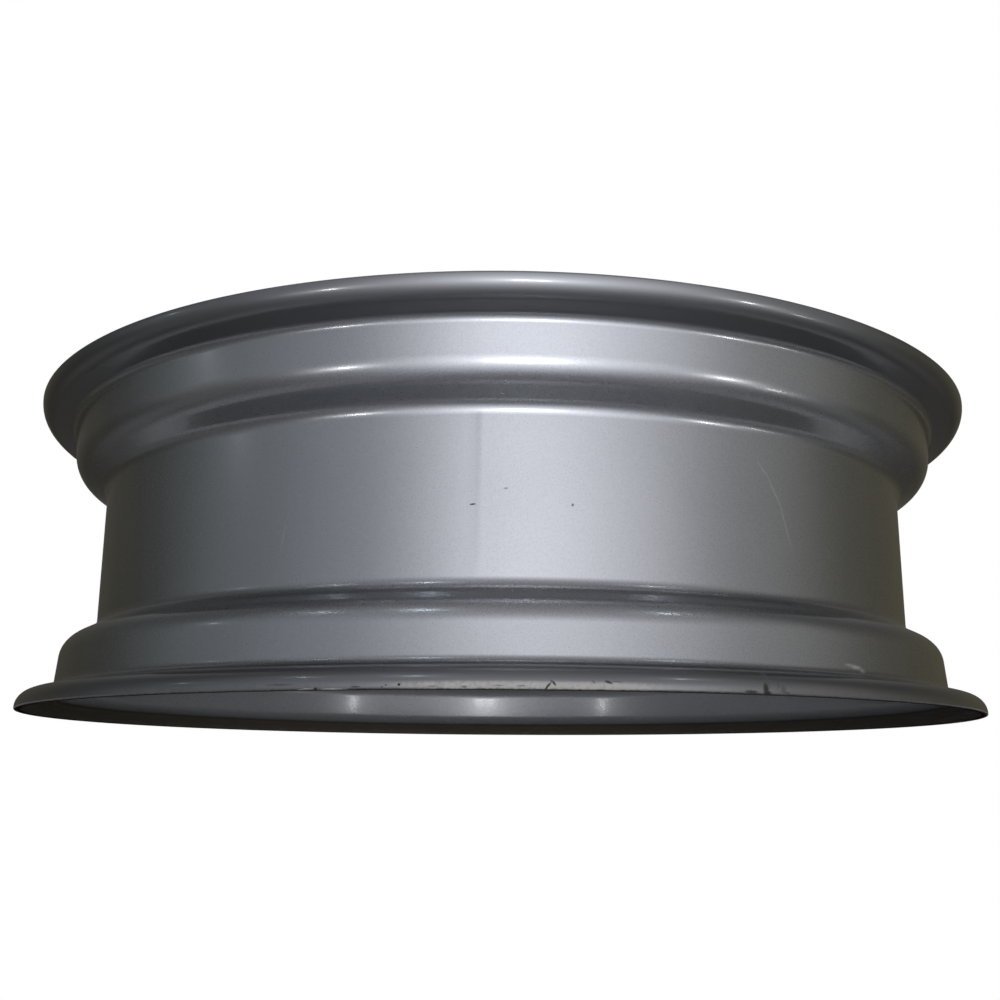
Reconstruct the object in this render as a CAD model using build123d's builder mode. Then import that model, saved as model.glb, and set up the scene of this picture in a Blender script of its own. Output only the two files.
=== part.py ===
from build123d import *
from math import atan2, cos, radians, sin, tan
import os

# Wheel rim for a narrow row-crop tractor tyre, nominal 8 inches wide and
# 28 inches across, with one drop-centre well. A strip of steel is rolled to
# the section, bent to a hoop and butt-welded, so the rim is one piece. It
# lies on its lower flange. The origin is the centre of the circle that the
# flange stands on, +Z is the wheel's axis, and sizes are in mm.

# Tyre side of the section
rim_diameter = 711.2         # nominal, where flange face and bead seat meet
rim_width = 203.2            # between the two flange faces at that diameter
flange_height = 25.4         # flange tip above the nominal diameter
flange_curl_radius = 12.5    # rolled flange, on its outer side
flange_lip = 1.5             # straight end of the flange, along the axis
flange_lean = 10.0           # degrees, the flange face leans from square
bead_seat_width = 34.0       # along the axis, from flange face to shoulder
bead_seat_taper = 5.0        # degrees, the seats fall towards the well
well_depth = 27.3            # well bottom below the nominal diameter
side_wall_width = 12.5       # along the axis, from shoulder to well bottom

# Bend radii on the tyre side
heel_radius = 6.0            # hollow corner of flange face and bead seat
shoulder_radius = 19.5       # crest between bead seat and side wall
well_corner_radius = 10.0    # hollow corner of side wall and well bottom

# Sheet and its cut edges
sheet = 5.0
edge_chamfer = 1.0           # both corners of each cut edge

# Valve hole through the well bottom, at the back
valve_hole_diameter = 15.7
valve_hole_chamfer = 0.5     # on both faces of the sheet
valve_hole_setback = 24.0    # hole centre from the corner of the well bottom
valve_hole_angle = 90.0      # degrees about the axis, 0 on +X

# Butt weld, flush on the flanges and seats and just proud in the well
weld_angle = -92.4           # degrees about the axis, 0 on +X
weld_width = 5.0             # around the hoop
weld_height = 0.3            # above the well bottom
weld_root = 1.0              # how deep the bead starts inside the sheet

# Radii where the straight runs of the section would meet
nominal_radius = rim_diameter / 2
tip_radius = nominal_radius + flange_height
well_radius = nominal_radius - well_depth
seat_end_radius = nominal_radius - bead_seat_width * tan(radians(bead_seat_taper))

# Where the flange's curl ends and its straight face starts
curl_sweep = 90.0 - flange_lean
curl_centre_radius = tip_radius - flange_curl_radius
face_start_radius = curl_centre_radius + flange_curl_radius * cos(radians(curl_sweep))
face_start_height = flange_lip + flange_curl_radius * sin(radians(curl_sweep))

# Heights of the lower half's corners, which the upper half mirrors
face_rise = (face_start_radius - nominal_radius) * tan(radians(flange_lean))
heel_height = face_start_height + face_rise
seat_end_height = heel_height + bead_seat_width
well_height = seat_end_height + side_wall_width
overall_width = rim_width + 2 * heel_height
mid_height = overall_width / 2

# Straight length of the well bottom between its two rounded corners
side_wall_turn = atan2(seat_end_radius - well_radius, side_wall_width)
well_corner_run = well_corner_radius * tan(side_wall_turn / 2)
well_bottom_width = overall_width - 2 * (well_height + well_corner_run)

with BuildPart() as rim_band:
    # Half of the tyre side is drawn, mirrored, and given the sheet's thickness
    with BuildSketch(Plane.XZ) as section:
        with BuildLine():
            Line((tip_radius, 0), (tip_radius, flange_lip))
            CenterArc((curl_centre_radius, flange_lip), flange_curl_radius, 0, curl_sweep)
            FilletPolyline(
                (face_start_radius, face_start_height),
                (nominal_radius, heel_height),
                (seat_end_radius, seat_end_height),
                (well_radius, well_height),
                (well_radius, mid_height),
                radius=[heel_radius, shoulder_radius, well_corner_radius],
            )
            mirror(about=Plane.XZ.offset(-mid_height))
            offset(amount=sheet, side=Side.LEFT)
        make_face()
        corners = section.vertices().group_by(Axis.Y)
        chamfer(corners[0] + corners[-1], edge_chamfer)
    revolve(axis=Axis.Z)

    # The weld's bead is ground to a low flat strip along the well bottom
    weld_outward = Vector(1, 0, 0).rotate(Axis.Z, weld_angle)
    weld_plane = Plane((0, 0, mid_height), x_dir=(0, 0, 1), z_dir=weld_outward)
    with BuildSketch(weld_plane.offset(well_radius - weld_root)):
        Rectangle(well_bottom_width, weld_width)
    extrude(amount=weld_root + weld_height)

    # The valve hole is drilled outwards from the axle side
    valve_height = overall_width - well_height - valve_hole_setback
    valve_outward = Vector(1, 0, 0).rotate(Axis.Z, valve_hole_angle)
    valve_plane = Plane((0, 0, valve_height), x_dir=(0, 0, 1), z_dir=valve_outward)
    with BuildSketch(valve_plane):
        Circle(valve_hole_diameter / 2)
    extrude(amount=tip_radius, mode=Mode.SUBTRACT)
    chamfer(rim_band.edges(Select.NEW), valve_hole_chamfer)

rim_band.part.label = "rim_band"
os.makedirs("parts", exist_ok=True)
export_step(rim_band.part, "parts/rim_band.step")
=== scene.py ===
from math import cos, hypot, pi, radians, sin, sqrt, tan

import bmesh
import bpy
from mathutils import Matrix, Vector


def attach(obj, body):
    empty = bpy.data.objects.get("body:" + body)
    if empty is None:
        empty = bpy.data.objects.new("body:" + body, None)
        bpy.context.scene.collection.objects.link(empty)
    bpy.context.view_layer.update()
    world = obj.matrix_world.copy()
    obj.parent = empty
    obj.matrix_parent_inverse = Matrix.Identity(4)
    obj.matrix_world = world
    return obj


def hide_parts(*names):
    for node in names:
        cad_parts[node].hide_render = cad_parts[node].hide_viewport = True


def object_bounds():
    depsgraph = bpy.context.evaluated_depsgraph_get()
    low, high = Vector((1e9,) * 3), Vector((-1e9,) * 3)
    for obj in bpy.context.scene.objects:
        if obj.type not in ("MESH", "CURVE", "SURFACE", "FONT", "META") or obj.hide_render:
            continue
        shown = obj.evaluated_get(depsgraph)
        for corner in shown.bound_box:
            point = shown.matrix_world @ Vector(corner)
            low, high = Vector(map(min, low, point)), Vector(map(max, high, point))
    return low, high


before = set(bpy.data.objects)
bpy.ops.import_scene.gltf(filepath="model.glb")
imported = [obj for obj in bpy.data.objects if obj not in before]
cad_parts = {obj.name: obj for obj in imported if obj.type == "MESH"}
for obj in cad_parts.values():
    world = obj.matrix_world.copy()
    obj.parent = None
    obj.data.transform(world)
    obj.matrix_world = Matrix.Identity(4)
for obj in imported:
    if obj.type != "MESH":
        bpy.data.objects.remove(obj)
cad_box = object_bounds()
bpy.context.scene.view_settings.view_transform = "Standard"

# Sizes in metres
RIM_WIDTH = cad_box[1].z
SHEET = 0.005
CUT_EDGE_RADIUS = 0.0009
SHARP_EDGE = radians(35)

# How close counts as the same, in metres. The hoop's two ends meet within 5 microns.
SAME_POINT = 1e-5
SAME_HEIGHT = 1e-5
SAME_RADIUS = 1e-4

# Corners of the lower half of the section, on the tyre side, from the flange's
# lip to the well bottom: radius, height, bend radius and steps round the bend.
FLANGE_LIP = (0.381, 0.0)
LOWER_CORNERS = [
    (0.381, 0.011989, 0.0125, 12),
    (0.3556, 0.016467, 0.006, 8),
    (0.352625, 0.050467, 0.0195, 10),
    (0.3283, 0.062967, 0.010, 8),
]
WELL_RADIUS = LOWER_CORNERS[-1][0]
WELL_END = 0.0692            # where the flat well bottom starts
WELL_MARGIN = 0.001
NEAR_WELL = 0.0005           # a radius this close is on the well bottom

# Columns round the hoop, and the narrow span that the butt weld takes
HOOP_STEPS = 384
WELD_ANGLE = radians(-92.4)
WELD_SPAN = 0.0052 / WELL_RADIUS
WELD_STEPS = 6
WELD_HEIGHT = 0.00013
WELD_FLUSH = 0.100           # below this height the bead is ground away
WELD_FULL = 0.112            # above this one it stands at its full height

# Valve hole at the back, with a collar of faces round it, in a square patch of the well
VALVE_HEIGHT = 0.149167
VALVE_RADIUS = 0.00785
VALVE_CHAMFER = 0.0005
VALVE_COLLAR = 0.0022
VALVE_STEPS = 48
VALVE_PATCH = 0.0165
LIP_MARGIN = 0.02            # edges further than this from both lips are the patch's


def roll_bend(bm, end, before, corner, after, bend_radius, steps):
    """Runs the section's wire on to the bend at a corner, and then round it."""
    come = (corner - before).normalized()
    leave = (after - corner).normalized()
    turn = come.angle(leave)
    start = corner - come * bend_radius * tan(turn / 2)
    inward = (leave - come * come.dot(leave)).normalized()
    run = bmesh.ops.extrude_vert_indiv(bm, verts=[end])["verts"]
    bmesh.ops.translate(bm, verts=run, vec=start - run[0].co)
    bent = bmesh.ops.spin(
        bm,
        geom=run,
        cent=start + inward * bend_radius,
        axis=come.cross(leave).normalized(),
        angle=turn,
        steps=steps,
    )
    return [v for v in bent["geom_last"] if isinstance(v, bmesh.types.BMVert)][0]


def roll_section(bm):
    """The section's wire on the tyre side, from the lower lip to the upper one."""
    upper = [(r, RIM_WIDTH - z, bend, steps) for r, z, bend, steps in reversed(LOWER_CORNERS)]
    corners = LOWER_CORNERS + upper
    lip_radius, lip_height = FLANGE_LIP
    points = [Vector((lip_radius, 0, lip_height))]
    points += [Vector((r, 0, z)) for r, z, bend, steps in corners]
    points += [Vector((lip_radius, 0, RIM_WIDTH - lip_height))]
    end = bm.verts.new(points[0])
    for i, (r, z, bend, steps) in enumerate(corners, start=1):
        end = roll_bend(bm, end, points[i - 1], points[i], points[i + 1], bend, steps)
    last = bmesh.ops.extrude_vert_indiv(bm, verts=[end])["verts"]
    bmesh.ops.translate(bm, verts=last, vec=points[-1] - last[0].co)


def roll_hoop(bm):
    """Bends the section to a hoop, in fine columns across the weld and plain ones for the rest."""
    wire = bm.verts[:] + bm.edges[:]
    start = WELD_ANGLE - WELD_SPAN / 2
    turned = Matrix.Rotation(start, 3, "Z")
    bmesh.ops.rotate(bm, verts=bm.verts[:], cent=(0, 0, 0), matrix=turned)
    welded = bmesh.ops.spin(
        bm, geom=wire, cent=(0, 0, 0), axis=(0, 0, 1), angle=WELD_SPAN, steps=WELD_STEPS
    )
    bmesh.ops.spin(
        bm,
        geom=welded["geom_last"],
        cent=(0, 0, 0),
        axis=(0, 0, 1),
        angle=2 * pi - WELD_SPAN,
        steps=HOOP_STEPS,
    )
    bmesh.ops.remove_doubles(bm, verts=bm.verts[:], dist=SAME_POINT)
    bmesh.ops.recalc_face_normals(bm, faces=bm.faces[:])


def open_valve_hole(bm):
    """Cuts a patch out of the well at the back, and closes it again down to a round hole."""

    def at_patch(face):
        middle = face.calc_center_median()
        on_well = abs(hypot(middle.x, middle.y) - WELL_RADIUS) < NEAR_WELL
        return on_well and middle.y > 0 and abs(middle.x) < VALVE_PATCH

    for side in (-1, 1):
        patch = [f for f in bm.faces if at_patch(f)]
        geom = patch + list({e for f in patch for e in f.edges})
        geom += list({v for f in patch for v in f.verts})
        cut = (0, 0, VALVE_HEIGHT + side * VALVE_PATCH)
        bmesh.ops.bisect_plane(
            bm, geom=geom, plane_co=cut, plane_no=(0, 0, 1), dist=SAME_POINT
        )
    middle_faces = [
        f
        for f in bm.faces
        if at_patch(f) and abs(f.calc_center_median().z - VALVE_HEIGHT) < VALVE_PATCH / 2
    ]
    kept = set(bm.faces) - set(middle_faces)
    rim = {e for f in middle_faces for e in f.edges if any(g in kept for g in e.link_faces)}
    bmesh.ops.delete(bm, geom=middle_faces, context="FACES")
    sides = [e for e in rim if abs(e.verts[0].co.z - e.verts[1].co.z) > VALVE_PATCH]
    flats = [e for e in rim if e not in sides]
    bmesh.ops.subdivide_edges(bm, edges=sides, cuts=VALVE_STEPS // 4 - 1)
    bmesh.ops.subdivide_edges(bm, edges=flats, cuts=1)
    outline = [
        e
        for e in bm.edges
        if e.is_boundary and all(LIP_MARGIN < v.co.z < RIM_WIDTH - LIP_MARGIN for v in e.verts)
    ]
    upright = Matrix.Translation((0, 0, VALVE_HEIGHT)) @ Matrix.Rotation(radians(90), 4, "X")
    rings = []
    for radius in (VALVE_RADIUS + VALVE_COLLAR, VALVE_RADIUS):
        ring = bmesh.ops.create_circle(
            bm, cap_ends=False, radius=radius, segments=VALVE_STEPS
        )["verts"]
        bmesh.ops.transform(bm, matrix=upright, verts=ring)
        for v in ring:
            v.co.y = sqrt(WELL_RADIUS**2 - v.co.x**2)
        rings.append(list({e for v in ring for e in v.link_edges}))
    bmesh.ops.bridge_loops(bm, edges=outline + rings[0])
    bmesh.ops.bridge_loops(bm, edges=rings[0] + rings[1])
    bmesh.ops.recalc_face_normals(bm, faces=bm.faces[:])


def lip_edges(bm):
    """The two long edges of each cut end of the sheet."""
    found = []
    for e in bm.edges:
        a, b = (v.co for v in e.verts)
        at_end = all(c.z < SAME_HEIGHT or c.z > RIM_WIDTH - SAME_HEIGHT for c in (a, b))
        if at_end and abs(hypot(a.x, a.y) - hypot(b.x, b.y)) < SAME_RADIUS:
            found.append(e)
    return found


def valve_edges(bm):
    """The two round edges of the valve hole."""
    found = []
    for e in bm.edges:
        a, b = (v.co for v in e.verts)
        near = all(
            c.y > 0 and abs(hypot(c.x, c.z - VALVE_HEIGHT) - VALVE_RADIUS) < SAME_RADIUS
            for c in (a, b)
        )
        through = abs(hypot(a.x, a.y) - hypot(b.x, b.y)) > WELL_MARGIN
        if near and not through:
            found.append(e)
    return found


def raise_weld(bm):
    """Leaves the weld's ground bead just proud of the well bottom."""
    outward = Vector((cos(WELD_ANGLE), sin(WELD_ANGLE), 0))
    across = Vector((-outward.y, outward.x, 0))
    half = WELL_RADIUS * WELD_SPAN / 2
    for v in bm.verts:
        on_well = abs(hypot(v.co.x, v.co.y) - WELL_RADIUS) < NEAR_WELL
        low, high = WELL_END - WELL_MARGIN, RIM_WIDTH - WELL_END + WELL_MARGIN
        if on_well and v.co.dot(outward) > 0 and low < v.co.z < high:
            share = max(0.0, 1 - (v.co.dot(across) / half) ** 2)
            left = (v.co.z - WELD_FLUSH) / (WELD_FULL - WELD_FLUSH)
            v.co += outward * WELD_HEIGHT * share * min(1.0, max(0.0, left))


def make_rim():
    """The rolled section bent to a hoop, with its valve hole, sheet, cut edges and weld."""
    bm = bmesh.new()
    roll_section(bm)
    roll_hoop(bm)
    open_valve_hole(bm)
    bmesh.ops.solidify(bm, geom=bm.faces[:], thickness=SHEET)
    bmesh.ops.bevel(
        bm,
        geom=lip_edges(bm),
        offset=CUT_EDGE_RADIUS,
        offset_type="OFFSET",
        segments=3,
        profile=0.5,
        affect="EDGES",
        material=-1,
    )
    bmesh.ops.bevel(
        bm,
        geom=valve_edges(bm),
        offset=VALVE_CHAMFER,
        offset_type="OFFSET",
        segments=1,
        profile=0.5,
        affect="EDGES",
        material=-1,
    )
    raise_weld(bm)
    for f in bm.faces:
        f.smooth = True
    for e in bm.edges:
        e.smooth = e.calc_face_angle(0) < SHARP_EDGE
    mesh = bpy.data.meshes.new("rolled_rim")
    bm.to_mesh(mesh)
    bm.free()
    rim = bpy.data.objects.new("rolled_rim", mesh)
    bpy.context.scene.collection.objects.link(rim)
    return rim


def add_node(tree, kind, settings=None, **inputs):
    """A shader node with its settings and its unlinked inputs filled in."""
    node = tree.nodes.new(kind)
    for name, value in (settings or {}).items():
        setattr(node, name, value)
    for name, value in inputs.items():
        node.inputs[name.replace("_", " ")].default_value = value
    return node


def plug(tree, socket, value):
    """Links an output into a socket, or sets a plain value on it."""
    if isinstance(value, bpy.types.NodeSocket):
        tree.links.new(value, socket)
    else:
        socket.default_value = value


def add_math(tree, operation, *values, clamp=False):
    node = add_node(tree, "ShaderNodeMath", {"operation": operation, "use_clamp": clamp})
    for socket, value in zip(node.inputs, values):
        plug(tree, socket, value)
    return node.outputs[0]


def add_ramp(tree, value, low, high, to_low=0.0, to_high=1.0):
    """A smooth step between two values."""
    node = add_node(tree, "ShaderNodeMapRange", {"interpolation_type": "SMOOTHSTEP"})
    for name, item in zip(
        ("Value", "From Min", "From Max", "To Min", "To Max"), (value, low, high, to_low, to_high)
    ):
        plug(tree, node.inputs[name], item)
    return node.outputs["Result"]


def add_mix(tree, share, first, second):
    """Mixes two colours by a share."""
    node = add_node(tree, "ShaderNodeMix", {"data_type": "RGBA"})
    plug(tree, node.inputs[0], share)
    plug(tree, node.inputs[6], first)
    plug(tree, node.inputs[7], second)
    return node.outputs[2]


def add_noise(tree, place, scale, detail=2.0, roughness=0.5):
    node = add_node(tree, "ShaderNodeTexNoise", Scale=scale, Detail=detail, Roughness=roughness)
    tree.links.new(place, node.inputs["Vector"])
    return node.outputs["Fac"]


def new_group(name, inputs, outputs):
    """An empty node group with named sockets, and its two end nodes."""
    group = bpy.data.node_groups.new(name, "ShaderNodeTree")
    for in_out, sockets in (("INPUT", inputs), ("OUTPUT", outputs)):
        for socket, kind in sockets.items():
            group.interface.new_socket(socket, in_out=in_out, socket_type="NodeSocket" + kind)
    return group, group.nodes.new("NodeGroupInput"), group.nodes.new("NodeGroupOutput")


# Radii and a height on the rim in mm, for its paint
LIP_RADIUS = 381.0
FLANGE_RADII = (357.0, 361.0)    # where the flange's face takes over from the bead seat
CURL_RADIUS = 368.5              # middle of the lower flange's curl
CURL_HEIGHT = 1.5
MM = 1000.0


def make_unrolled_group():
    """The hoop unrolled: millimetres round the lip from the middle of the front, and height."""
    group, start, end = new_group(
        "unrolled_hoop",
        {"Place": "Vector", "Ragged": "Float"},
        {"Around": "Float", "Height": "Float", "Radius": "Float"},
    )
    parts = group.nodes.new("ShaderNodeSeparateXYZ")
    group.links.new(start.outputs["Place"], parts.inputs[0])
    front = add_math(group, "MULTIPLY", parts.outputs["Y"], -1.0)
    turn = add_math(group, "ARCTAN2", parts.outputs["X"], front)
    noise = add_node(group, "ShaderNodeTexNoise", Scale=380.0, Detail=3.0)
    group.links.new(start.outputs["Place"], noise.inputs["Vector"])
    shift = add_node(group, "ShaderNodeSeparateColor")
    group.links.new(noise.outputs["Color"], shift.inputs[0])
    for name, place, channel, scale in (
        ("Around", turn, "Red", LIP_RADIUS),
        ("Height", parts.outputs["Z"], "Green", MM),
    ):
        sway = add_math(group, "SUBTRACT", shift.outputs[channel], 0.5)
        sway = add_math(group, "MULTIPLY", sway, start.outputs["Ragged"])
        spot = add_math(group, "MULTIPLY_ADD", place, scale, sway)
        group.links.new(spot, end.inputs[name])
    flat = add_node(group, "ShaderNodeVectorMath", {"operation": "MULTIPLY"})
    flat.inputs[1].default_value = (MM, MM, 0.0)
    group.links.new(start.outputs["Place"], flat.inputs[0])
    reach = add_node(group, "ShaderNodeVectorMath", {"operation": "LENGTH"})
    group.links.new(flat.outputs[0], reach.inputs[0])
    group.links.new(reach.outputs["Value"], end.inputs["Radius"])
    return group


def make_mark_group():
    """One mark in the paint: an oval that can lean, with a soft edge."""
    group, start, end = new_group(
        "paint_mark",
        {
            "Around": "Float",
            "Height": "Float",
            "Middle": "Vector",
            "Reach": "Vector",
            "Lean": "Float",
            "Soft": "Float",
            "Strength": "Float",
        },
        {"Mask": "Float"},
    )
    middle = group.nodes.new("ShaderNodeSeparateXYZ")
    reach = group.nodes.new("ShaderNodeSeparateXYZ")
    group.links.new(start.outputs["Middle"], middle.inputs[0])
    group.links.new(start.outputs["Reach"], reach.inputs[0])
    rise = add_math(group, "SUBTRACT", start.outputs["Height"], middle.outputs["Y"])
    aside = add_math(group, "SUBTRACT", start.outputs["Around"], middle.outputs["X"])
    lean = add_math(group, "MULTIPLY", rise, start.outputs["Lean"])
    aside = add_math(group, "SUBTRACT", aside, lean)
    aside = add_math(group, "DIVIDE", aside, reach.outputs["X"])
    rise = add_math(group, "DIVIDE", rise, reach.outputs["Y"])
    aside = add_math(group, "MULTIPLY", aside, aside)
    total = add_math(group, "MULTIPLY_ADD", rise, rise, aside)
    far = add_math(group, "SQRT", total)
    outer = add_math(group, "ADD", 1.0, start.outputs["Soft"])
    inner = add_math(group, "SUBTRACT", 1.0, start.outputs["Soft"])
    mask = add_ramp(group, far, outer, inner)
    mask = add_math(group, "MULTIPLY", mask, start.outputs["Strength"])
    group.links.new(mask, end.inputs["Mask"])
    return group


# Marks in the paint, and painted glints: degrees round the hoop from the middle of the front,
# height in mm, half its length and half its height in mm, lean, softness and strength.
DARK_CHIPS = [
    (-15.1, 0.3, 0.8, 1.2, 0.0, 0.4, 1.0),
    (-11.7, 1.5, 2.5, 0.4, 0.0, 0.5, 0.75),
    (-9.5, 1.3, 0.5, 0.5, 0.0, 0.4, 0.8),
    (-9.2, 2.4, 0.5, 0.4, 0.0, 0.4, 0.8),
    (-8.1, 2.5, 0.7, 0.65, 0.0, 0.4, 1.0),
    (-18.3, 3.1, 7.0, 0.5, 0.0, 0.8, 0.5),
    (-5.4, 1.7, 2.4, 0.4, 0.0, 0.6, 0.5),
    (-2.9, 1.5, 1.5, 0.5, 0.0, 0.6, 0.6),
    (-0.2, 2.2, 2.6, 0.4, 0.0, 0.6, 0.45),
    (1.6, 2.0, 2.2, 0.4, 0.0, 0.6, 0.5),
    (3.7, 1.9, 0.65, 2.1, 0.7, 0.5, 0.9),
    (4.2, 3.6, 0.85, 1.2, -0.7, 0.5, 0.9),
    (3.95, 4.6, 0.5, 0.7, 0.0, 0.5, 0.6),
    (7.4, 4.4, 0.6, 0.8, -0.5, 0.6, 0.55),
    (8.6, 4.6, 1.5, 0.9, -1.0, 0.5, 0.85),
    (9.2, 5.0, 2.4, 0.35, 0.0, 0.7, 0.4),
    (21.0, 1.3, 4.0, 0.9, 0.0, 0.4, 0.75),
    (24.6, 1.4, 1.6, 0.5, 0.0, 0.5, 0.6),
    (-3.04, 111.9, 1.9, 0.6, 0.0, 0.4, 0.9),
    (0.40, 121.6, 1.4, 0.45, 0.0, 0.6, 0.45),
    (7.34, 112.2, 0.8, 0.7, 0.0, 0.5, 0.7),
]
RUST_SMEARS = [
    (22.75, 9.5, 1.4, 4.6, -0.1, 0.8, 0.5),
    (22.45, 3.4, 1.6, 3.4, 0.1, 0.5, 0.95),
    (22.55, 0.9, 2.5, 1.4, 0.0, 0.5, 1.0),
    (24.2, 3.2, 1.6, 2.4, 0.0, 0.8, 0.5),
    (23.8, 6.2, 0.8, 3.0, 0.3, 0.9, 0.35),
]
PALE_SCUFFS_AND_GLINTS = [
    # The first three are painted glints of light on the lower bead seat; the last two are pale
    # scuffs along the lip's bottom edge
    (36.7, 22.6, 4.0, 0.9, -0.4, 0.9, 0.3),
    (37.7, 21.6, 5.2, 1.2, -0.8, 0.9, 0.4),
    (38.6, 19.6, 2.6, 1.3, 0.0, 0.9, 0.3),
    (-15.9, 0.35, 4.5, 0.5, 0.0, 0.4, 0.9),
    (-13.6, 0.35, 8.0, 0.5, 0.0, 0.4, 1.0),
]
SCRATCHES = [
    (30.2, 145.3, 0.55, 5.6, -1.0, 0.6, 0.35),
    (31.7, 132.4, 0.6, 9.5, -0.65, 0.6, 0.4),
    (33.2, 111.5, 0.65, 14.0, -0.36, 0.6, 0.35),
    (-24.0, 96.0, 0.5, 9.0, 0.25, 0.8, 0.16),
]


def add_marks(tree, group, spots, marks):
    """The strongest of a list of marks at each place."""
    total = 0.0
    for turn, height, half_length, half_height, lean, soft, strength in marks:
        mark = add_node(tree, "ShaderNodeGroup", {"node_tree": group})
        for name in ("Around", "Height"):
            tree.links.new(spots.outputs[name], mark.inputs[name])
        mark.inputs["Middle"].default_value = (radians(turn) * LIP_RADIUS, height, 0.0)
        mark.inputs["Reach"].default_value = (half_length, half_height, 1.0)
        mark.inputs["Lean"].default_value = lean
        mark.inputs["Soft"].default_value = soft
        mark.inputs["Strength"].default_value = strength
        total = add_math(tree, "MAXIMUM", total, mark.outputs["Mask"])
    return total


def add_worn_lip(tree, place, spots):
    """Where the lower lip has lost its shine: strongest in the middle of the front."""
    low = add_ramp(tree, spots.outputs["Height"], 5.2, 2.6)
    middle = add_math(tree, "SUBTRACT", spots.outputs["Around"], 14.0)
    side = add_math(tree, "ABSOLUTE", middle)
    near = add_ramp(tree, side, 85.0, 35.0, 0.1, 1.0)
    patchy = add_ramp(tree, add_noise(tree, place, 260.0, 4.0), 0.3, 0.55, 0.45, 1.0)
    worn = add_math(tree, "MULTIPLY", low, near)
    return add_math(tree, "MULTIPLY", worn, patchy)


def add_curl_reflection(tree, spots):
    """A painted brown reflection in the hollow of the lower flange's curl, under the rim."""
    across = add_math(tree, "SUBTRACT", spots.outputs["Radius"], CURL_RADIUS)
    rise = add_math(tree, "SUBTRACT", spots.outputs["Height"], CURL_HEIGHT)
    across = add_math(tree, "MULTIPLY", across, across)
    reach = add_math(tree, "SQRT", add_math(tree, "MULTIPLY_ADD", rise, rise, across))
    return add_ramp(tree, reach, 10.5, 9.0, 0.0, 0.8)


# Colours of the paint, of what lies bare or on it, and of painted shade, reflection and glints
SILVER_DARK = (0.325, 0.336, 0.350, 1)
SILVER_LIGHT = (0.350, 0.356, 0.368, 1)
# A darker silver for the flanges: a painted shade
SHADED_FLANGE_SILVER = (0.17, 0.174, 0.178, 1)
WORN_SILVER = (0.58, 0.55, 0.51, 1)
SCRATCH_GREY = (0.75, 0.75, 0.74, 1)
SCUFF_AND_GLINT_WHITE = (0.80, 0.79, 0.76, 1)
# Brown for a painted reflection in the hollow of the lower curl
REFLECTION_BROWN = (0.30, 0.255, 0.195, 1)
RUST_BROWN = (0.050, 0.042, 0.028, 1)
CHIP_BLACK = (0.022, 0.019, 0.017, 1)
CUT_BROWN = (0.060, 0.044, 0.028, 1)


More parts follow.
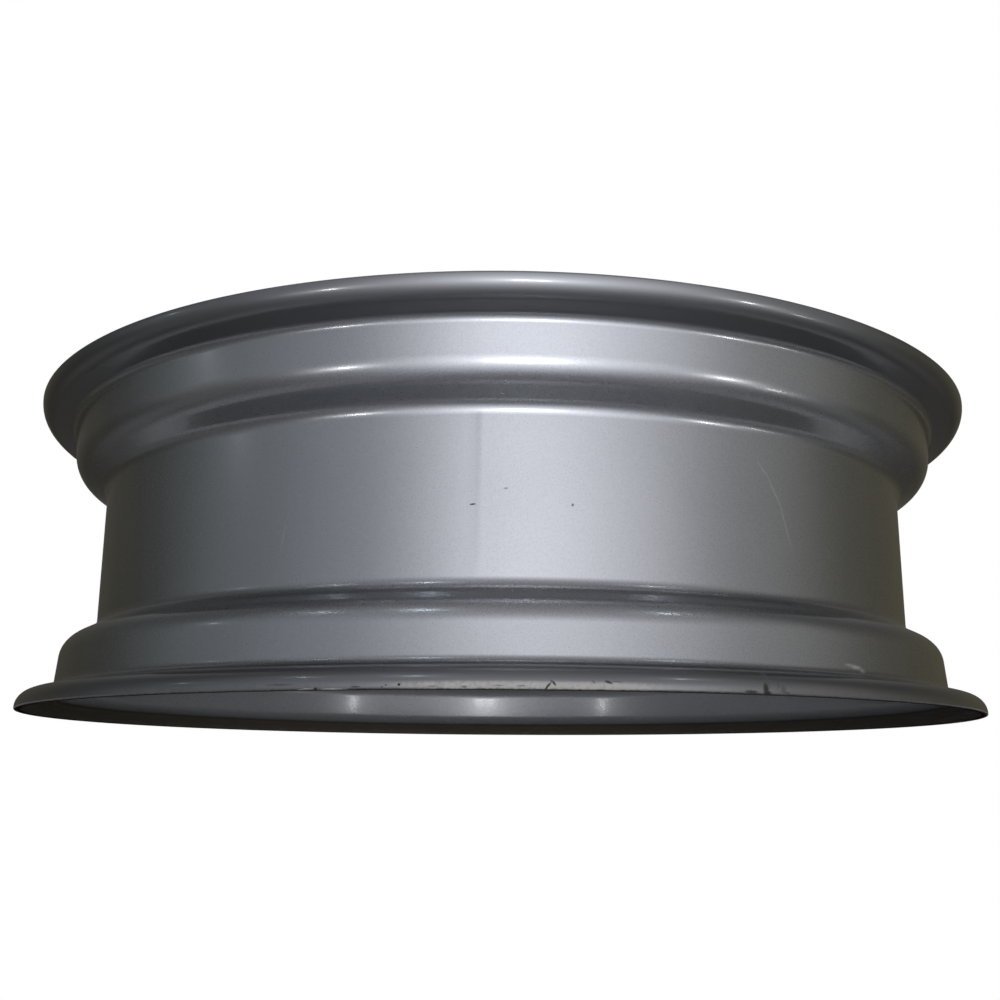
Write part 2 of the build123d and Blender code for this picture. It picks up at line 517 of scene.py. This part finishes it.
def make_silver_paint():
    """Silver enamel with flake and a slightly uneven film, and the marks the photo shows; the
    flanges carry a painted shade, the lower curl a painted reflection, and some pale marks are
    painted glints.
    """
    material = bpy.data.materials.new("silver_paint")
    material.use_nodes = True
    tree = material.node_tree
    shader = tree.nodes["Principled BSDF"]
    place = tree.nodes.new("ShaderNodeTexCoord").outputs["Object"]
    unrolled = make_unrolled_group()
    mark = make_mark_group()
    spots = add_node(tree, "ShaderNodeGroup", {"node_tree": unrolled}, Ragged=1.1)
    tree.links.new(place, spots.inputs["Place"])

    clouds = add_ramp(tree, add_noise(tree, place, 11.0, 3.0), 0.25, 0.75)
    grain = add_noise(tree, place, 900.0, 3.0, 0.7)
    flake = add_noise(tree, place, 1500.0, 1.0)
    silver = add_mix(tree, clouds, SILVER_DARK, SILVER_LIGHT)
    grey = add_math(tree, "MULTIPLY_ADD", grain, 0.36, 0.82)
    glint = add_math(tree, "MULTIPLY_ADD", flake, 0.14, 0.93)
    light = add_math(tree, "MULTIPLY", grey, glint)
    shade = add_node(tree, "ShaderNodeVectorMath", {"operation": "SCALE"})
    tree.links.new(silver, shade.inputs[0])
    tree.links.new(light, shade.inputs["Scale"])

    flange = add_ramp(tree, spots.outputs["Radius"], *FLANGE_RADII)
    worn = add_worn_lip(tree, place, spots)
    curl_reflection = add_curl_reflection(tree, spots)
    chips = add_marks(tree, mark, spots, DARK_CHIPS)
    rust = add_marks(tree, mark, spots, RUST_SMEARS)
    scuffs_and_glints = add_marks(tree, mark, spots, PALE_SCUFFS_AND_GLINTS)
    scratch = add_marks(tree, mark, spots, SCRATCHES)
    # Dark brown on the lowest 0.75 mm, along the bottom cut edge
    cut = add_ramp(tree, spots.outputs["Height"], 0.75, 0.1, 0.0, 0.9)

    # Both flanges get a darker silver than the rest of the band: a painted shade
    flange_shade = add_math(tree, "MULTIPLY", flange, 0.85)
    colour = add_mix(tree, flange_shade, shade.outputs[0], SHADED_FLANGE_SILVER)
    for share, over in (
        (worn, WORN_SILVER),
        (scratch, SCRATCH_GREY),
        (scuffs_and_glints, SCUFF_AND_GLINT_WHITE),
        (curl_reflection, REFLECTION_BROWN),
        (rust, RUST_BROWN),
        (chips, CHIP_BLACK),
        (cut, CUT_BROWN),
    ):
        colour = add_mix(tree, share, colour, over)
    tree.links.new(colour, shader.inputs["Base Color"])

    # Where the paint is gone, soiled or dark at the bottom edge, and under the painted reflection
    # and glints, it is duller, less metallic and has no clear coat
    dark_marks = add_math(tree, "MAXIMUM", add_math(tree, "MAXIMUM", chips, rust), cut)
    bare_and_painted = add_math(tree, "MAXIMUM", add_math(tree, "MAXIMUM", dark_marks, curl_reflection), scuffs_and_glints)
    dull = add_math(tree, "MAXIMUM", bare_and_painted, add_math(tree, "MULTIPLY", worn, 0.8))
    metal = add_ramp(tree, dull, 0.0, 1.0, 0.95, 0.1)
    tree.links.new(metal, shader.inputs["Metallic"])
    base = add_math(tree, "MULTIPLY_ADD", grain, 0.06, 0.25)
    base = add_math(tree, "MULTIPLY_ADD", flange, 0.06, base)
    rough = add_math(tree, "MULTIPLY_ADD", dull, 0.35, base)
    tree.links.new(rough, shader.inputs["Roughness"])
    coat = add_ramp(tree, dull, 0.0, 1.0, 1.0, 0.05)
    tree.links.new(coat, shader.inputs["Coat Weight"])
    shader.inputs["Coat Roughness"].default_value = 0.12
    shader.inputs["Specular Tint"].default_value = (0.45, 0.45, 0.46, 1)

    # The film's height in metres: fine peel, slow waves, and a step down at the chips, rust smears
    # and bottom edge
    peel = add_math(tree, "MULTIPLY", add_noise(tree, place, 170.0, 2.0), 2.2e-5)
    waves = add_math(tree, "MULTIPLY_ADD", add_noise(tree, place, 16.0, 1.0), 1.6e-4, peel)
    film = add_math(tree, "MULTIPLY_ADD", dark_marks, -8e-5, waves)
    bump = add_node(tree, "ShaderNodeBump", Strength=1.0, Distance=1.0)
    tree.links.new(film, bump.inputs["Height"])
    tree.links.new(bump.outputs[0], shader.inputs["Normal"])
    return material


# The camera as fitted to the photo: place in metres, tilts in degrees
CAMERA_PLACE = (0, -0.991467, -0.041919)
CAMERA_PITCH = 12.766        # upwards from level
CAMERA_ROLL = 0.353
CAMERA_LENS = 41.61          # mm, on a sensor 36 mm wide
CAMERA_SHIFT = (-0.00201, 0.00988)


def make_camera():
    """Where the photograph was taken from: close in front, and a little below the rim."""
    data = bpy.data.cameras.new("camera")
    data.sensor_width = 36
    data.lens = CAMERA_LENS
    data.shift_x, data.shift_y = CAMERA_SHIFT
    camera = bpy.data.objects.new("camera", data)
    bpy.context.scene.collection.objects.link(camera)
    pitch = Matrix.Rotation(radians(90 + CAMERA_PITCH), 4, "X")
    roll = Matrix.Rotation(radians(CAMERA_ROLL), 4, "Z")
    camera.matrix_world = Matrix.Translation(CAMERA_PLACE) @ pitch @ roll
    bpy.context.scene.camera = camera


WHITE = (1.0, 1.0, 1.0)
BLUISH = (0.80, 0.92, 1.0)

# Lamps that glint in the paint: name, azimuth from the camera's side, elevation,
# distance from the point they face, width, height, watts and colour.
LAMP_TARGET = Vector((0, -0.35, 0.118))
LAMPS = [
    ("lamp_centre_left", 4.0, -13, 2.6, 0.09, 0.14, 3.6, WHITE),
    ("lamp_centre_right", 8.4, -13, 2.6, 0.09, 0.14, 3.6, WHITE),
    ("lamp_left", -40.4, -14, 2.4, 0.09, 0.14, 2.4, WHITE),
    ("lamp_right", 58, -13, 2.6, 0.10, 0.15, 2.6, WHITE),
    ("lamp_far_right", 72.9, -18.8, 6.0, 0.3, 0.3, 4, WHITE),
    ("lamp_far_left", -83.4, 15.9, 0.78, 0.014, 0.014, 0.01, BLUISH),
    ("lamp_high_left", -60.6, 44.7, 1.72, 0.05, 0.08, 0.2, BLUISH),
    ("lamp_high_centre", -29.4, 51.7, 1.2, 0.06, 0.08, 0.22, BLUISH),
    ("lamp_high_right", 56.5, 47.9, 2.23, 0.08, 0.12, 0.5, BLUISH),
]


def make_lamp(name, azimuth, elevation, distance, width, height, power, colour):
    """A small soft lamp that faces the front of the rim."""
    a, e = radians(azimuth), radians(elevation)
    away = Vector((sin(a) * cos(e), -cos(a) * cos(e), sin(e)))
    data = bpy.data.lights.new(name, "AREA")
    data.shape = "RECTANGLE"
    data.size = width
    data.size_y = height
    data.energy = power
    data.color = colour
    lamp = bpy.data.objects.new(name, data)
    bpy.context.scene.collection.objects.link(lamp)
    facing = away.to_track_quat("Z", "Y").to_matrix().to_4x4()
    lamp.matrix_world = Matrix.Translation(LAMP_TARGET + away * distance) @ facing
    lamp.visible_camera = False


def make_world():
    """White where the camera, metal and glass look at it, and dim as a light."""
    world = bpy.data.worlds.new("studio")
    bpy.context.scene.world = world
    world.use_nodes = True
    tree = world.node_tree
    light = tree.nodes["Background"]
    light.inputs["Color"].default_value = (0.9, 0.95, 1, 1)
    light.inputs["Strength"].default_value = 0.05
    seen = add_node(tree, "ShaderNodeBackground", Color=(1, 1, 1, 1), Strength=1.0)
    path = tree.nodes.new("ShaderNodeLightPath")
    share = add_math(tree, "ADD", path.outputs["Is Camera Ray"], path.outputs["Is Glossy Ray"])
    share = add_math(tree, "ADD", share, path.outputs["Is Transmission Ray"], clamp=True)
    mix = tree.nodes.new("ShaderNodeMixShader")
    tree.links.new(share, mix.inputs[0])
    tree.links.new(light.outputs[0], mix.inputs[1])
    tree.links.new(seen.outputs[0], mix.inputs[2])
    tree.links.new(mix.outputs[0], tree.nodes["World Output"].inputs["Surface"])


FLOOR_RADIUS = 0.85
FLOOR_DROP = 0.0005          # just under the lip, so that the two don't touch


def make_floor():
    """A pale floor under the rim, seen from above, that fades into the white round it."""
    bm = bmesh.new()
    bmesh.ops.create_circle(bm, cap_ends=True, radius=FLOOR_RADIUS, segments=96)
    bmesh.ops.translate(bm, verts=bm.verts[:], vec=(0, 0, -FLOOR_DROP))
    mesh = bpy.data.meshes.new("floor")
    bm.to_mesh(mesh)
    bm.free()
    floor = bpy.data.objects.new("floor", mesh)
    bpy.context.scene.collection.objects.link(floor)
    material = bpy.data.materials.new("pale_floor")
    material.use_nodes = True
    tree = material.node_tree
    shader = tree.nodes["Principled BSDF"]
    shader.inputs["Base Color"].default_value = (0.8, 0.8, 0.8, 1)
    shader.inputs["Roughness"].default_value = 0.9
    shader.inputs["Specular IOR Level"].default_value = 0.1
    place = tree.nodes.new("ShaderNodeTexCoord")
    reach = add_node(tree, "ShaderNodeVectorMath", {"operation": "LENGTH"})
    tree.links.new(place.outputs["Object"], reach.inputs[0])
    outer = add_ramp(tree, reach.outputs["Value"], 0.39, 0.52)
    inner = add_ramp(tree, reach.outputs["Value"], 0.33, 0.18, 0.0, 0.25)
    side = tree.nodes.new("ShaderNodeNewGeometry")
    fade = add_math(tree, "MAXIMUM", outer, inner)
    fade = add_math(tree, "MAXIMUM", fade, side.outputs["Backfacing"])
    clear = tree.nodes.new("ShaderNodeBsdfTransparent")
    mix = tree.nodes.new("ShaderNodeMixShader")
    tree.links.new(fade, mix.inputs[0])
    tree.links.new(shader.outputs[0], mix.inputs[1])
    tree.links.new(clear.outputs[0], mix.inputs[2])
    tree.links.new(mix.outputs[0], tree.nodes["Material Output"].inputs["Surface"])
    mesh.materials.append(material)


def make_glow_group():
    """A patch of light with soft edges on the tent, about a middle at two angles."""
    group, start, end = new_group(
        "soft_glow",
        {
            "Direction": "Vector",
            "Azimuth": "Float",
            "Elevation": "Float",
            "Spread": "Vector",
            "Light": "Vector",
        },
        {"Light": "Vector"},
    )
    link = group.links.new
    turn = add_node(group, "ShaderNodeVectorRotate", {"rotation_type": "Z_AXIS"})
    link(start.outputs["Direction"], turn.inputs["Vector"])
    link(start.outputs["Azimuth"], turn.inputs["Angle"])
    tip = add_node(group, "ShaderNodeVectorRotate", {"rotation_type": "X_AXIS"})
    link(turn.outputs[0], tip.inputs["Vector"])
    link(start.outputs["Elevation"], tip.inputs["Angle"])
    spread = add_node(group, "ShaderNodeVectorMath", {"operation": "DIVIDE"})
    link(tip.outputs[0], spread.inputs[0])
    link(start.outputs["Spread"], spread.inputs[1])
    square = add_node(group, "ShaderNodeVectorMath", {"operation": "DOT_PRODUCT"})
    link(spread.outputs[0], square.inputs[0])
    link(spread.outputs[0], square.inputs[1])
    fall = add_math(group, "MULTIPLY", square.outputs["Value"], -1.0)
    fall = add_math(group, "EXPONENT", fall)
    parts = group.nodes.new("ShaderNodeSeparateXYZ")
    link(tip.outputs[0], parts.inputs[0])
    ahead = add_math(group, "LESS_THAN", parts.outputs["Y"], 0.0)
    lit = add_math(group, "MULTIPLY", fall, ahead)
    scale = add_node(group, "ShaderNodeVectorMath", {"operation": "SCALE"})
    link(start.outputs["Light"], scale.inputs[0])
    link(lit, scale.inputs["Scale"])
    link(scale.outputs[0], end.inputs["Light"])
    return group


# Soft light on the tent: azimuth from the camera's side, elevation, spread in
# degrees across and up, and red, green and blue.
GLOWS = [
    (4, -8, 28, 34, (2.55, 2.60, 2.80)),
    (36, 0, 20, 26, (0.62, 0.62, 0.65)),
    (72, 2, 17, 20, (0.17, 0.17, 0.16)),
    (-48, 4, 17, 16, (0.12, 0.13, 0.15)),
    (-76, 4, 20, 16, (0.11, 0.12, 0.12)),
    (100, 6, 20, 20, (0.05, 0.05, 0.03)),
    (48, 26, 17, 16, (0.10, 0.10, 0.10)),
    (72, 26, 17, 16, (0.17, 0.163, 0.157)),
    (-48, 26, 17, 16, (0.162, 0.189, 0.223)),
    (-84, 26, 24, 18, (0.06, 0.075, 0.085)),
    (8, 56, 40, 22, (0.20, 0.20, 0.21)),
    (8, 80, 40, 20, (0.06, 0.06, 0.06)),
    (-10, -65, 40, 25, (0.088, 0.094, 0.110)),
    (130, 10, 25, 20, (0.079, 0.070, 0.041)),
    (-130, 10, 25, 20, (0.045, 0.043, 0.028)),
    (180, 60, 24, 22, (1.40, 1.42, 1.50)),
    (180, -18, 13, 26, (2.20, 2.23, 2.35)),
    (108, -24, 30, 10, (0.12, 0.12, 0.125)),
    (-108, -24, 30, 10, (0.12, 0.12, 0.125)),
]
TENT_GREY = (0.020, 0.017, 0.012)
TENT_RADIUS = 7.5
WAY_OUT = (13, 4, 21)        # degrees: to each side, lower end and upper end


def make_tent():
    """A dark tent round the rim with soft light on it, open behind the rim."""
    bm = bmesh.new()
    bmesh.ops.create_uvsphere(bm, u_segments=72, v_segments=36, radius=TENT_RADIUS)
    aside, low, high = (sin(radians(a)) for a in WAY_OUT)
    opening = []
    for f in bm.faces:
        x, y, z = f.calc_center_median().normalized()
        if y > 0 and abs(x) < aside and low < z < high:
            opening.append(f)
    bmesh.ops.delete(bm, geom=opening, context="FACES")
    bmesh.ops.reverse_faces(bm, faces=bm.faces[:])
    for f in bm.faces:
        f.smooth = True
    mesh = bpy.data.meshes.new("tent")
    bm.to_mesh(mesh)
    bm.free()
    tent = bpy.data.objects.new("tent", mesh)
    bpy.context.scene.collection.objects.link(tent)
    material = bpy.data.materials.new("dark_tent")
    material.use_nodes = True
    tree = material.node_tree
    tree.nodes.remove(tree.nodes["Principled BSDF"])
    place = tree.nodes.new("ShaderNodeTexCoord")
    way = add_node(tree, "ShaderNodeVectorMath", {"operation": "NORMALIZE"})
    tree.links.new(place.outputs["Object"], way.inputs[0])
    group = make_glow_group()
    total = TENT_GREY
    for azimuth, elevation, across, up, light in GLOWS:
        glow = add_node(tree, "ShaderNodeGroup", {"node_tree": group})
        glow.inputs["Azimuth"].default_value = -radians(azimuth)
        glow.inputs["Elevation"].default_value = radians(elevation)
        glow.inputs["Spread"].default_value = (sin(radians(across)), 1e6, sin(radians(up)))
        glow.inputs["Light"].default_value = light
        tree.links.new(way.outputs[0], glow.inputs["Direction"])
        added = add_node(tree, "ShaderNodeVectorMath", {"operation": "ADD"})
        plug(tree, added.inputs[0], total)
        tree.links.new(glow.outputs[0], added.inputs[1])
        total = added.outputs[0]
    shine = add_node(tree, "ShaderNodeEmission", Strength=1.0)
    tree.links.new(total, shine.inputs["Color"])
    tree.links.new(shine.outputs[0], tree.nodes["Material Output"].inputs["Surface"])
    mesh.materials.append(material)
    tent.visible_camera = False


rim = make_rim()
rim.data.materials.append(make_silver_paint())
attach(rim, "root")
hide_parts("rim_band")

make_camera()
make_world()
make_floor()
make_tent()
for lamp in LAMPS:
    make_lamp(*lamp)
